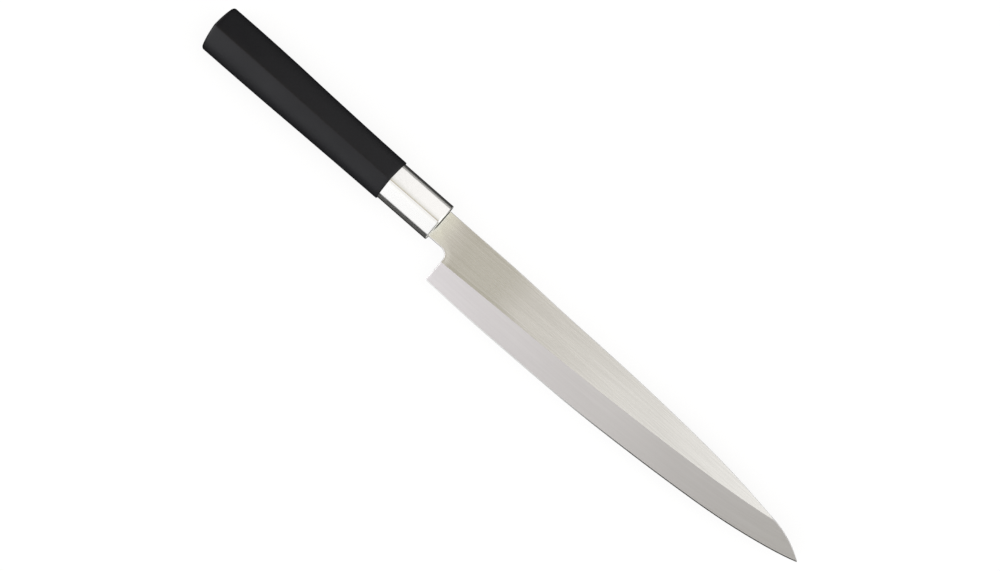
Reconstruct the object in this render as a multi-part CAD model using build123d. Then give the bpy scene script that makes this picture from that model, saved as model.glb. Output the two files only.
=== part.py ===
from build123d import *
import os
from math import asin, cos, degrees, radians, sin, sqrt

# A right-handed single-bevel slicing knife, lying on the left flank of its grip.
# +X runs from the butt to the point, +Y from the edge to the spine, +Z up out of the bevelled side.
# All sizes are in millimetres. The knife is built about the axis of its grip, with x = 0 at the
# front of the ferrule and z = 0 half way through the steel, and is moved to its place at the end.

# Ferrule
ferrule_length = 28.9
ferrule_width = 19.45
ferrule_ridge_height = 7.85
ferrule_belly_depth = 6.3
ferrule_wall = 0.6
ferrule_front_wall = 1.2
ferrule_front_round = 0.45

# Grip: how far its front stands proud of the ferrule, and its size at the butt
shoulder_step = 0.73
shoulder_round = 0.3
grip_length = 104.1
butt_width = 23.42
butt_ridge_height = 9.7
butt_belly_depth = 8.0
butt_rise = 0.45
butt_round = 1.4
# The butt's slant in plan, in degrees: its spine side reaches further back
butt_slant = 1.9
# From the shoulder to the butt: place along the grip, and how far its size has grown to the butt's.
swell_shares = (
    (0.000, 0.000),
    (0.150, 0.110),
    (0.420, 0.440),
    (0.720, 0.900),
    (0.850, 0.985),
    (1.000, 1.000),
)
# Turns of the butt's rounded edge at which its section is taken, in degrees
butt_turns = (0, 25, 50, 70, 90)
# Radii of the arcs that make up the D-shaped section, as shares of half its width
ridge_round_share = 0.14
facet_round_share = 2.0
flank_round_share = 0.34
belly_round_share = 0.52

# Blade, seen square to its bevelled side
stock_thickness = 2.2
neck_length = 11.9
neck_spine_step = 2.575
neck_choil_step = 1.825
edge_length = 209.9
belly_depth = 24.1
bevel_width = 13.55
choil_radius = 4.2
choil_round = 0.45
spine_round = 0.3
point_round = 0.35
tip_back_bulge = 1.15

# Stations from heel to point: place along the edge, depth of the edge, width of the bevel.
# The first and the last lie outside the blade, so that the ground faces run off it.
station_shares = (
    (-0.060, 0.966, 0.757),
    (0.000, 0.978, 0.793),
    (0.120, 1.000, 0.891),
    (0.250, 0.996, 0.942),
    (0.400, 0.976, 0.994),
    (0.550, 0.911, 1.000),
    (0.700, 0.814, 0.983),
    (0.820, 0.702, 0.961),
    (0.920, 0.552, 0.917),
    (1.000, 0.3715, 0.890),
    (1.045, 0.224, 0.870),
)
# The spine, from the end of its straight stretch to the corner where it meets the bevel:
# place along the edge, and height above the grip's axis.
spine_shares = (
    (0.110, 1.000),
    (0.243, 0.906),
    (0.414, 0.828),
    (0.587, 0.664),
    (0.673, 0.534),
    (0.759, 0.345),
    (0.845, 0.050),
    (0.907, -0.196),
)

# Ground edge: thickness left at the edge, thickness behind the sharpened line, and that line's width
edge_land = 0.08
bevel_land = 0.24
sharpened_width = 0.5

# Flat back with its shallow hollow, ground by a wheel of this radius inside a flat rim
back_grind = 0.1
back_grind_setback = 4.0
hollow_radius = 260.0
hollow_rim = 2.0
# Place along the edge, and depth of the hollow there as a share of its greatest depth
hollow_depth_shares = (
    (0.018, -0.150),
    (0.035, 0.420),
    (0.075, 0.850),
    (0.150, 1.000),
    (0.300, 1.000),
    (0.450, 0.880),
    (0.600, 0.680),
    (0.750, 0.430),
    (0.850, 0.220),
    (0.965, -0.030),
)

# Tang
tang_length = 86.0
tang_root_width = 11.0
tang_end_width = 7.0
tang_end_round = 2.0
tang_hole_diameter = 3.6
tang_hole_shares = (0.42, 0.76)

# Fits
slot_clearance = 0.15
tenon_clearance = 0.05
socket_clearance = 0.9
socket_bottom_gap = 2.5

# One overrun for every cut
overrun = 1.5

heel_x = neck_length
neck_top_y = ferrule_width / 2 - neck_spine_step
neck_bottom_y = neck_choil_step - ferrule_width / 2
steel_top = stock_thickness / 2
steel_bottom = -stock_thickness / 2
back_z = steel_bottom + back_grind


def station_curve(y_offset, height):
    """A curve along the blade, moved from the edge by functions of the bevel's width there."""
    points = []
    for along, depth, width in station_shares:
        local_width = width * bevel_width
        x = heel_x + along * edge_length
        y = -depth * belly_depth + y_offset(local_width)
        points.append(Vector(x, y, height(local_width)))
    places = [along for along, _, _ in station_shares]
    return Edge.make_spline(points, parameters=places)


def edge_point(place):
    """The edge at a station: 0 is the heel and 1 the point."""
    depth = {along: depth for along, depth, _ in station_shares}[place]
    return Vector(heel_x + place * edge_length, -depth * belly_depth, 0)


def spine_points():
    return [Vector(heel_x + along * edge_length, height * neck_top_y, 0) for along, height in spine_shares]


def blade_plan():
    """The blade with its neck, choil and heel, in plan, as far back as the inside of the ferrule's front."""
    heel = edge_point(0)
    point = edge_point(1)
    edge_line = station_curve(lambda width: 0, lambda width: 0).trim(heel, point)
    spine = spine_points()
    corner = spine[-1]
    back_direction = (point - corner).normalized()
    bulge = Vector(-back_direction.Y, back_direction.X, 0) * tip_back_bulge
    tip_back = ThreePointArc(corner, (corner + point) / 2 + bulge, point)
    neck_top = Vector(-ferrule_front_wall, neck_top_y, 0)
    neck_bottom = Vector(-ferrule_front_wall, neck_bottom_y, 0)
    choil_start = Vector(heel_x - choil_radius, neck_bottom_y, 0)
    choil_end = Vector(heel_x, neck_bottom_y - choil_radius, 0)
    lines = [
        Line(neck_bottom, choil_start),
        RadiusArc(choil_start, choil_end, choil_radius),
        Line(choil_end, heel),
        edge_line,
        tip_back,
        Edge.make_spline(spine, tangents=[Vector(1, 0, 0), corner - spine[-2]]),
        Line(spine[0], neck_top),
        Line(neck_top, neck_bottom),
    ]
    plan = make_face(Wire(lines))
    return fillet(plan.vertices().sort_by_distance(point)[0], point_round)


def tang_plan(margin=0.0):
    """The tapered tang in plan, grown by a margin to give the socket round it."""
    root_x = -ferrule_front_wall
    end_x = -tang_length - (socket_bottom_gap if margin else 0)
    root = tang_root_width / 2 + margin
    end = tang_end_width / 2 + margin
    outline = Polyline((root_x, -root), (root_x, root), (end_x, end), (end_x, -end), close=True)
    plan = make_face(outline)
    return fillet(plan.vertices().group_by(Axis.X)[0], tang_end_round)


def plate(plan, bottom, top):
    return extrude(Pos(0, 0, bottom) * plan, top - bottom)


def ground_face(low_y, low_z, high_y, high_z):
    """The space above a ruled face that runs from one curve along the blade to another."""
    face = Face.make_surface_from_curves(station_curve(low_y, low_z), station_curve(high_y, high_z))
    return extrude(face, stock_thickness + overrun, dir=(0, 0, 1))


def bevel_slope(width):
    return (steel_top - back_z - bevel_land) / width


def bevel_cut():
    """Takes the steel off above the wide bevel, from the full thickness down to the edge."""
    return ground_face(
        lambda width: -overrun,
        lambda width: back_z + bevel_land - overrun * bevel_slope(width),
        lambda width: width + overrun,
        lambda width: steel_top + overrun * bevel_slope(width),
    )


def sharpening_cut():
    """Takes the steel off above the thin sharpened line along the edge."""

    def rise(width):
        return bevel_land - edge_land + sharpened_width * bevel_slope(width)

    return ground_face(
        lambda width: -overrun,
        lambda width: back_z + edge_land - overrun / sharpened_width * rise(width),
        lambda width: sharpened_width + overrun,
        lambda width: back_z + edge_land + (1 + overrun / sharpened_width) * rise(width),
    )


def hollow_cut():
    """The hollow of the back: a barrel as wide as the wheel, its crown as deep as the shares say."""
    half_width = (neck_top_y + belly_depth) / 2 - hollow_rim
    depth = hollow_radius - sqrt(hollow_radius**2 - half_width**2)
    middle_y = (neck_top_y - belly_depth) / 2
    crown = [
        Vector(heel_x + along * edge_length, middle_y, back_z + share * depth)
        for along, share in hollow_depth_shares
    ]
    start = Vector(crown[0].X, middle_y, back_z - overrun)
    end = Vector(crown[-1].X, middle_y, back_z - overrun)
    lines = [Edge.make_spline(crown), Line(crown[-1], end), Line(end, start), Line(start, crown[0])]
    axis = Axis((0, middle_y, back_z - hollow_radius), (1, 0, 0))
    half_turn = degrees(asin((half_width + overrun) / hollow_radius))
    profile = make_face(Wire(lines)).rotate(axis, -half_turn)
    return revolve(profile, axis, 2 * half_turn)


def back_cut():
    """Takes the back down to one flat from just behind the heel to the point."""
    start = heel_x - back_grind_setback
    length = edge_length + back_grind_setback + overrun
    width = 2 * (belly_depth + overrun)
    slab = Box(length, width, back_grind + overrun, align=(Align.MIN, Align.CENTER, Align.MAX))
    return Pos(start, 0, back_z) * slab


def rim_edges(body, place):
    """The plate's upper and lower edges that pass nearest to a place on its outline."""
    nearest = []
    for side in (steel_top, steel_bottom):
        level = body.edges().filter_by(lambda edge, z=side: abs(edge.center().Z - z) < spine_round)
        nearest.append(level.sort_by_distance(place + Vector(0, 0, side))[0])
    return nearest


def make_blade():
    body = plate(blade_plan(), steel_bottom, steel_top)
    body = fillet(rim_edges(body, Vector(heel_x, neck_top_y, 0)), spine_round)
    choil_middle = Vector(heel_x, neck_bottom_y, 0) + Vector(-1, -1, 0) * choil_radius * (1 - sqrt(0.5))
    body = fillet(rim_edges(body, choil_middle), choil_round)
    tang = plate(tang_plan(), steel_bottom, steel_top)
    for share in tang_hole_shares:
        hole = Cylinder(tang_hole_diameter / 2, stock_thickness + 2 * overrun)
        tang -= Pos(-share * tang_length, 0, 0) * hole
    blade = body + tang
    blade -= bevel_cut()
    blade -= sharpening_cut()
    blade -= back_cut()
    blade -= hollow_cut()
    return blade


def section(half_width, ridge, belly, inset=0.0):
    """The D-shaped section in a plane of its own, made smaller all round by the inset."""
    side = half_width - inset
    ridge_r = ridge_round_share * side
    facet_r = facet_round_share * side
    flank_r = flank_round_share * side
    belly_r = belly_round_share * side
    top = ridge - inset
    bottom = belly - inset
    ridge_centre = Vector(0, top - ridge_r)
    flank_centre = Vector(side - flank_r, 0)
    belly_centre = Vector(side - belly_r, 0)

    # The facet is an arc that touches the rounded ridge at one end and the rounded flank at the other.
    run = flank_centre - ridge_centre
    along = run.normalized()
    inwards = Vector(along.Y, -along.X)
    reach = (run.length + ((facet_r - ridge_r) ** 2 - (facet_r - flank_r) ** 2) / run.length) / 2
    facet_centre = ridge_centre + along * reach + inwards * sqrt((facet_r - ridge_r) ** 2 - reach**2)
    ridge_turn = (ridge_centre - facet_centre).normalized()
    flank_turn = (flank_centre - facet_centre).normalized()
    ridge_end = facet_centre + ridge_turn * facet_r
    facet_middle = facet_centre + (ridge_turn + flank_turn).normalized() * facet_r
    facet_end = facet_centre + flank_turn * facet_r
    flank_middle = flank_centre + (flank_turn + Vector(1, 0)).normalized() * flank_r

    # The belly is one large arc that touches the two rounded flanks.
    big_r = (belly_centre.X**2 + bottom**2 - belly_r**2) / (2 * (bottom - belly_r))
    big_centre = Vector(0, big_r - bottom)
    belly_turn = (belly_centre - big_centre).normalized()
    belly_end = belly_centre + belly_turn * belly_r
    belly_middle = belly_centre + (belly_turn + Vector(1, 0)).normalized() * belly_r

    def mirrored(p):
        return Vector(-p.X, p.Y)

    right = Vector(side, 0)
    outline = [
        ThreePointArc(mirrored(ridge_end), (0, top), ridge_end),
        ThreePointArc(ridge_end, facet_middle, facet_end),
        ThreePointArc(facet_end, flank_middle, right),
        ThreePointArc(right, belly_middle, belly_end),
        ThreePointArc(belly_end, (0, -bottom), mirrored(belly_end)),
        ThreePointArc(mirrored(belly_end), mirrored(belly_middle), mirrored(right)),
        ThreePointArc(mirrored(right), mirrored(flank_middle), mirrored(facet_end)),
        ThreePointArc(mirrored(facet_end), mirrored(facet_middle), mirrored(ridge_end)),
    ]
    return make_face(Wire(outline))


def ferrule_section(x, inset=0.0):
    sizes = (ferrule_width / 2, ferrule_ridge_height, ferrule_belly_depth)
    return Pos(x, 0, 0) * (Plane.YZ * section(*sizes, inset))


def grip_section(place, grown, inset=0.0, reach=0.0):
    """The grip's section at a place between its shoulder, 0, and the start of its rounded butt, 1.

    It rises and slants as it grows, and can be moved back from there, square to itself, by the reach.
    """
    front = (ferrule_width / 2, ferrule_ridge_height, ferrule_belly_depth)
    butt = (butt_width / 2, butt_ridge_height, butt_belly_depth)
    sizes = [(a + shoulder_step) * (1 - grown) + b * grown for a, b in zip(front, butt)]
    x = -ferrule_length - place * (grip_length - butt_round)
    where = Pos(x, butt_rise * grown, 0) * Rot(0, 0, butt_slant * grown) * Pos(-reach, 0, 0)
    return where * (Plane.YZ * section(*sizes, inset))


def butt_section(turn):
    """The section of the rounded butt, where its edge has turned by so many degrees."""
    inset = butt_round * (1 - cos(radians(turn)))
    return grip_section(1, 1, inset, butt_round * sin(radians(turn)))


def slot_space():
    """The slot through the ferrule's front: the neck's own section with its clearance all round."""
    width = neck_top_y - neck_bottom_y + 2 * slot_clearance
    height = stock_thickness + 2 * slot_clearance
    block = Box(ferrule_front_wall, width, height, align=(Align.MAX, Align.CENTER, Align.CENTER))
    return Pos(0, (neck_top_y + neck_bottom_y) / 2, 0) * block


def make_ferrule():
    body = extrude(ferrule_section(-ferrule_length), ferrule_length, dir=(1, 0, 0))
    body = fillet(body.faces().sort_by(Axis.X)[-1].edges(), ferrule_front_round)
    inside = extrude(
        ferrule_section(-ferrule_length, ferrule_wall), ferrule_length - ferrule_front_wall, dir=(1, 0, 0)
    )
    return body - inside - slot_space()


def socket_space():
    """The socket for the tang, open at the front of the tenon."""
    reach = steel_top + socket_clearance
    return plate(tang_plan(socket_clearance), -reach, reach)


def make_handle():
    grip = loft([grip_section(place, grown) for place, grown in swell_shares])
    grip = fillet(grip.faces().sort_by(Axis.X)[-1].edges(), shoulder_round)
    butt = loft([butt_section(turn) for turn in butt_turns])
    tenon = extrude(
        ferrule_section(-ferrule_length, ferrule_wall + tenon_clearance),
        ferrule_length - ferrule_front_wall,
        dir=(1, 0, 0),
    )
    return grip + butt + tenon - socket_space()


blade = make_blade()
ferrule = make_ferrule()
handle = make_handle()
tang_resin = socket_space() - blade
slot_seal = slot_space() - blade

pieces = {
    "blade": blade,
    "ferrule": ferrule,
    "handle": handle,
    "tang_resin": tang_resin,
    "slot_seal": slot_seal,
}

# The knife's box is centred on the origin in plan, and its lowest point lies on z = 0.
box = Compound([piece.solid() for piece in pieces.values()]).bounding_box()
shift = Pos(-box.center().X, -box.center().Y, -box.min.Z)

os.makedirs("parts", exist_ok=True)
for name, piece in pieces.items():
    solids = piece.solids()
    assert len(solids) == 1, name
    export_step(shift * solids[0], f"parts/{name}.step")
print("box", box.size, "moved by", shift.position)
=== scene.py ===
# %% [markdown]
# # A right-handed slicing knife
# The knife has a long slim blade ground on one side only, a polished steel collar and a black grip with a
# ridge along its right side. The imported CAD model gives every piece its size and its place. This script
# gives the pieces their finish: it makes finer meshes of what shows, paints them, and sets up the light.

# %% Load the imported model
from math import atan2, cos, pi, radians, sin, sqrt, tan

import bmesh
import bpy
import numpy as np
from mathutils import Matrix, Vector


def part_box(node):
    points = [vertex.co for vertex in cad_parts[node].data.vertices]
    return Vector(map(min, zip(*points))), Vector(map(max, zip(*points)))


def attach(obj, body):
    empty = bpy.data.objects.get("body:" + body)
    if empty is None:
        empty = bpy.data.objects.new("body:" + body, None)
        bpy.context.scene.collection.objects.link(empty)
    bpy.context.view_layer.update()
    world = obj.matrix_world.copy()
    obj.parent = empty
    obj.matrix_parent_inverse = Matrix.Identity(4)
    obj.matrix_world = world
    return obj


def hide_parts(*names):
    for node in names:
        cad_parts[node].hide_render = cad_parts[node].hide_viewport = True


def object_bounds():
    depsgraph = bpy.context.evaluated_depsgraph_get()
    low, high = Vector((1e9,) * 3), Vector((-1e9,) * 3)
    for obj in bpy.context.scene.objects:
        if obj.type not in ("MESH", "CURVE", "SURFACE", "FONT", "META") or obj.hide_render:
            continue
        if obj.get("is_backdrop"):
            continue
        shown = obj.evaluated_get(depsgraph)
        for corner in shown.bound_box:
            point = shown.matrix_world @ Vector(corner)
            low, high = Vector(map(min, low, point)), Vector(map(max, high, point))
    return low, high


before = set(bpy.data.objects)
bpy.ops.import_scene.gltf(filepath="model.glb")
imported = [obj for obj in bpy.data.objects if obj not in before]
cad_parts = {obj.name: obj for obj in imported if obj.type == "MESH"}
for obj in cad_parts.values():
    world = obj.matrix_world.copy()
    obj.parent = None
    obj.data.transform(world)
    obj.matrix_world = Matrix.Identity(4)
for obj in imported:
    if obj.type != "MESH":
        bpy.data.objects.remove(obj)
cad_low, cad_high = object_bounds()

MM = 0.001


def in_mm(sizes, digits=2):
    return [round(float(size) / MM, digits) for size in sizes]


print("nodes:", ", ".join(sorted(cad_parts)))
print("CAD box in mm:", in_mm(cad_high - cad_low))

# %% [markdown]
# ## The knife's own axes
# Every size of a knife is measured from the middle of its grip, so the script keeps such axes: x is 0 at the
# front of the collar, y is 0 on the axis of the grip, and z is 0 half way through the steel. The boxes of the
# CAD nodes say where these axes lie, and a finished mesh is moved there once, in its vertices. So an object
# stays at the origin, and a pattern on Object coordinates stays where it is.

# %% Find the axes
ferrule_low, ferrule_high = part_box("ferrule")
blade_low, blade_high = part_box("blade")
handle_low, handle_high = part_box("handle")
axes = Vector((ferrule_high.x, (ferrule_low.y + ferrule_high.y) / 2, (blade_low.z + blade_high.z) / 2))
print("the knife's axes lie at, in mm:", in_mm(axes, 3))

# %% [markdown]
# ## The camera
# The photograph looks straight down on the knife, which lies on the left side of its grip. The blade runs
# down to the right. A perspective this weak belongs to a camera well above the knife. One picture gives only
# the ratio of the grip's height to the camera's, so the camera's height is chosen, and the lens then follows
# from how much of the knife's plane the picture takes in.

# %% Place the camera
camera_height = 700 * MM
view_centre = Vector((38.9 * MM, -3.3 * MM))
view_width = 449.7 * MM
knife_turn = 41.2

camera = bpy.data.cameras.new("camera")
camera.lens = camera.sensor_width * camera_height / view_width
camera_object = bpy.data.objects.new("camera", camera)
camera_object.location = (axes.x + view_centre.x, axes.y + view_centre.y, axes.z + camera_height)
camera_object.rotation_euler = (0, 0, radians(knife_turn))
bpy.context.scene.collection.objects.link(camera_object)
bpy.context.scene.camera = camera_object
print("lens in mm:", round(camera.lens, 1))

# %% [markdown]
# ## Helpers for nodes
# Materials, the world and Geometry Nodes are all trees of nodes. One short function adds a node, sets its
# properties and fills its inputs: an input that is given another node's output gets a link, and any other
# value is written into the socket. The others take up the nodes that come again and again.


# %% Define the node helpers
def node(tree, kind, inputs=(), **settings):
    made = tree.nodes.new(kind)
    for name, value in settings.items():
        setattr(made, name, value)
    for key, value in dict(inputs).items():
        if isinstance(value, bpy.types.NodeSocket):
            tree.links.new(value, made.inputs[key])
        else:
            made.inputs[key].default_value = value
    return made


def math(tree, operation, *values):
    return node(tree, "ShaderNodeMath", enumerate(values), operation=operation).outputs[0]


def product(tree, first, *others):
    for other in others:
        first = math(tree, "MULTIPLY", first, other)
    return first


def map_range(tree, value, low, high, to_low=0.0, to_high=1.0, kind="LINEAR"):
    inputs = {"Value": value, "From Min": low, "From Max": high, "To Min": to_low, "To Max": to_high}
    return node(tree, "ShaderNodeMapRange", inputs, interpolation_type=kind).outputs["Result"]


def fade(tree, value, low, high, to_low=0.0, to_high=1.0):
    """A soft step from one value, up to low, to another, from high on."""
    return map_range(tree, value, low, high, to_low, to_high, "SMOOTHSTEP")


def soft_band(tree, value, borders):
    """1 between the two middle borders, 0 outside the outer ones, and soft in between."""
    dark_to, full_from, full_to, dark_from = borders
    return product(tree, fade(tree, value, dark_to, full_from), fade(tree, value, full_to, dark_from, 1, 0))


def new_material(name):
    material = bpy.data.materials.new(name)
    material.use_nodes = True
    material.node_tree.nodes.clear()
    return material, material.node_tree


def link_object(name, data):
    made = bpy.data.objects.new(name, data)
    bpy.context.scene.collection.objects.link(made)
    return made


# %% [markdown]
# ## The light
# Polished and brushed steel shows little but what it reflects, so the light is a whole sky of soft boxes and
# not a few lamps. Nearly every face of this knife runs along the X axis and only leans to one side. So a
# direction of the sky is given by two numbers that such a face keeps apart: how far it points along the
# blade, and its turn across the blade, in degrees from straight up, with the edge's side below zero. Each box
# fades in and out over soft borders in both. The walls before the point and behind the butt, and their sides,
# light the knife when it is looked at from a low side. Looked at directly, the sky is plain white, as a
# studio's paper is.

# %% Build the soft sky
bpy.context.scene.view_settings.view_transform = "Standard"

beyond_butt, beyond_point = (-3.0, -2.0), (2.0, 3.0)
over_flat, over_bevel = (-13, -4, 24, 60), (-40, -26, -14, -6)
before_edge, edge_wall, spine_wall = (-88, -84, -43, -25), (-88, -84, -48, -34), (34, 48, 84, 88)
above_horizon, all_round = (-90, -85, 85, 90), (-270, -240, 240, 270)
wall_white = (1.00, 0.99, 0.98)
paper_white = (0.98, 0.98, 0.98, 1)
sky_boxes = (
    # Borders along the blade: dark up to, full from, full up to, dark from.
    # Then the same four across the blade, the strength and the colour.
    ("ceiling", (*beyond_butt, *beyond_point), (-52, -20, 20, 46), 0.36, (1.00, 0.985, 0.81)),
    ("warm ceiling", (*beyond_butt, -0.02, 0.06), (-12, -4, 20, 46), 0.10, (1.00, 0.55, 0.15)),
    ("over the collar", (-0.115, -0.10, -0.060, -0.055), (-12, -5, 28, 44), 0.38, (1.00, 1.00, 0.96)),
    ("middle of the blade", (-0.032, 0.035, *beyond_point), over_flat, 0.40, (0.98, 1.00, 1.135)),
    ("point of the blade", (0.075, 0.235, *beyond_point), over_flat, 0.495, (0.98, 1.00, 1.02)),
    ("last of the spine", (0.12, 0.17, *beyond_point), (-9, -1, 24, 60), 0.14, (1.00, 0.97, 1.02)),
    ("middle of the bevel", (*beyond_butt, -0.10, 0.225), over_bevel, 0.35, (0.96, 0.87, 1.32)),
    ("back of the bevel", (*beyond_butt, 0.085, 0.165), over_bevel, 0.18, (1.01, 1.00, 0.90)),
    ("heel", (*beyond_butt, -0.09, 0.05), over_bevel, 0.44, (1.00, 1.00, 1.00)),
    ("before the edge", (*beyond_butt, 0.09, 0.14), before_edge, 1.00, (1.00, 1.00, 1.01)),
    ("before the collar", (*beyond_butt, -0.055, -0.03), before_edge, 0.13, (1.00, 1.00, 1.03)),
    ("before the grip", (*beyond_butt, -0.15, -0.10), before_edge, 0.44, (0.96, 0.99, 1.10)),
    ("behind the spine", (-0.155, -0.103, *beyond_point), (25, 45, 87, 90), 1.125, (1.00, 0.985, 0.98)),
    ("wall before the point", (0.65, 0.90, *beyond_point), above_horizon, 0.50, wall_white),
    ("its edge side", (0.46, 0.66, *beyond_point), edge_wall, 0.65, wall_white),
    ("its spine side", (0.46, 0.66, *beyond_point), spine_wall, 0.65, wall_white),
    ("wall behind the butt", (*beyond_butt, -0.80, -0.60), above_horizon, 0.60, wall_white),
    ("its edge side", (*beyond_butt, -0.66, -0.46), edge_wall, 0.65, wall_white),
    ("its spine side", (*beyond_butt, -0.68, -0.50), spine_wall, 0.65, wall_white),
    ("surroundings", (*beyond_butt, *beyond_point), all_round, 0.05, (1.00, 0.98, 0.95)),
)

world = bpy.data.worlds.new("soft sky")
bpy.context.scene.world = world
world.use_nodes = True
sky = world.node_tree
sky.nodes.clear()
look = node(sky, "ShaderNodeTexCoord").outputs["Generated"]
parts = node(sky, "ShaderNodeSeparateXYZ", {0: look}).outputs
turn_across = math(sky, "DEGREES", math(sky, "ARCTAN2", parts["Y"], parts["Z"]))
glow = (0, 0, 0)
for name, along, across, strength, colour in sky_boxes:
    box = product(sky, soft_band(sky, parts["X"], along), soft_band(sky, turn_across, across))
    box = node(sky, "ShaderNodeCombineXYZ", {"X": box, "Y": box, "Z": box}).outputs[0]
    inputs = {0: [strength * part for part in colour], 1: box, 2: glow}
    glow = node(sky, "ShaderNodeVectorMath", inputs, operation="MULTIPLY_ADD").outputs[0]
    print("soft box:", name)
boxes = node(sky, "ShaderNodeBackground", {"Color": glow, "Strength": 1.0})
plain = node(sky, "ShaderNodeBackground", {"Color": paper_white, "Strength": 1.0})
is_camera = node(sky, "ShaderNodeLightPath").outputs["Is Camera Ray"]
background = node(sky, "ShaderNodeMixShader", {0: is_camera, 1: boxes.outputs[0], 2: plain.outputs[0]})
node(sky, "ShaderNodeOutputWorld", {"Surface": background.outputs[0]})

# %% [markdown]
# ## The floor
# The knife lies on a plain pale floor. A cut-out photograph has no shadow at all, but a knife without one
# seems to float, so the floor keeps a faint one: most of its white is its own, and the rest is light that
# falls on it. Mirror-like steel near a white floor would lose its dark sides. Studios stand black cards
# round it for that, and here the floor looks darker to a reflection than to the camera, apart from a bright
# patch that starts at the collar and runs along the first part of the blade. From below the floor is clear,
# like a glass table, so the hollow back of the blade can be looked at too.

# %% Make the floor
floor_reach = 6.0
floor_own_white = 0.86
floor_paper = 0.16
# What a reflection sees: close to the knife, beyond its edge's side, beyond its spine's side, and the patch
near, far_before_edge, far_behind_spine, patch = 0.045, 0.10, 0.55, 0.85
edge_side_fade = (-50 * MM, -8 * MM)
spine_side_fade = (60 * MM, 300 * MM)
patch_start_fade = 15 * MM
patch_end_fade = 50 * MM
patch_length = {"edge side": 100 * MM, "spine side": 20 * MM}
patch_side_border = (9 * MM, 12 * MM)
patch_far_border = (20 * MM, 35 * MM)

floor_mesh = bpy.data.meshes.new("floor")
corners = [(-floor_reach, -floor_reach, 0), (floor_reach, -floor_reach, 0)]
corners += [(floor_reach, floor_reach, 0), (-floor_reach, floor_reach, 0)]
floor_mesh.from_pydata(corners, [], [(0, 1, 2, 3)])
floor = link_object("floor", floor_mesh)

paper, tree = new_material("pale paper")
seen = node(tree, "ShaderNodeEmission", {"Color": (1, 1, 1, 1), "Strength": floor_own_white})
lit = node(tree, "ShaderNodeBsdfDiffuse", {"Color": (floor_paper,) * 3 + (1,)})
both = node(tree, "ShaderNodeAddShader", {0: seen.outputs[0], 1: lit.outputs[0]})
spot = node(tree, "ShaderNodeNewGeometry").outputs
along, across, _ = node(tree, "ShaderNodeSeparateXYZ", {0: spot["Position"]}).outputs
glow = fade(tree, across, *edge_side_fade, far_before_edge, near)
glow = math(tree, "ADD", glow, fade(tree, across, *spine_side_fade, 0, far_behind_spine - near))
from_collar = math(tree, "SUBTRACT", along, axes.x)
from_axis = math(tree, "SUBTRACT", across, axes.y)
length = fade(tree, from_axis, *patch_side_border, *patch_length.values())
past_end = math(tree, "SUBTRACT", from_collar, length)
patch_glow = product(
    tree,
    fade(tree, from_collar, 0, patch_start_fade, 0, patch),
    fade(tree, past_end, 0, patch_end_fade, 1, 0),
    fade(tree, from_axis, *patch_far_border, 1, 0),
)
glow = math(tree, "MAXIMUM", glow, patch_glow)
mirrored = node(tree, "ShaderNodeEmission", {"Color": (1, 0.99, 0.96, 1), "Strength": glow})
is_reflection = node(tree, "ShaderNodeLightPath").outputs["Is Glossy Ray"]
choice = node(tree, "ShaderNodeMixShader", {0: is_reflection, 1: both.outputs[0], 2: mirrored.outputs[0]})
clear = node(tree, "ShaderNodeBsdfTransparent")
choice = node(tree, "ShaderNodeMixShader", {0: spot["Backfacing"], 1: choice.outputs[0], 2: clear.outputs[0]})
node(tree, "ShaderNodeOutputMaterial", {"Surface": choice.outputs[0]})
floor_mesh.materials.append(paper)
floor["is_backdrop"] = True

# %% [markdown]
# ## Helpers for meshes
# A grid of points is the plainest way to a clean surface: every row follows a line of the real piece, such
# as the edge or the ridge, so the shading has nothing to stumble over. Grids that share a border are sewn
# together by merging the points that coincide, and the same step closes seams and poles.


# %% Define the mesh helpers
def join_lines(bm, first, second):
    """Fills the gap between two lines of points with four-sided faces."""
    for i in range(len(first) - 1):
        bm.faces.new((first[i], first[i + 1], second[i + 1], second[i]))


def sew(bm, gap=0.0005 * MM):
    """Merges the points that coincide, drops what has no area, and turns the faces outwards."""
    bmesh.ops.remove_doubles(bm, verts=bm.verts, dist=gap)
    bmesh.ops.dissolve_degenerate(bm, edges=bm.edges, dist=gap)
    bmesh.ops.recalc_face_normals(bm, faces=bm.faces)
    return sum(1 for edge in bm.edges if len(edge.link_faces) != 2)


def finish_piece(bm, name, materials, sharp_angle=25):
    """Turns the bmesh into an object at the origin, with its place in its mesh."""
    open_edges = sew(bm)
    bmesh.ops.translate(bm, verts=bm.verts, vec=axes)
    mesh = bpy.data.meshes.new(name)
    bm.to_mesh(mesh)
    bm.free()
    for material in materials:
        mesh.materials.append(material)
    mesh.polygons.foreach_set("use_smooth", [True] * len(mesh.polygons))
    mesh.set_sharp_from_angle(angle=radians(sharp_angle))
    piece = link_object(name, mesh)
    print(name, "has", len(mesh.polygons), "faces and", open_edges, "open edges")
    return piece


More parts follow.
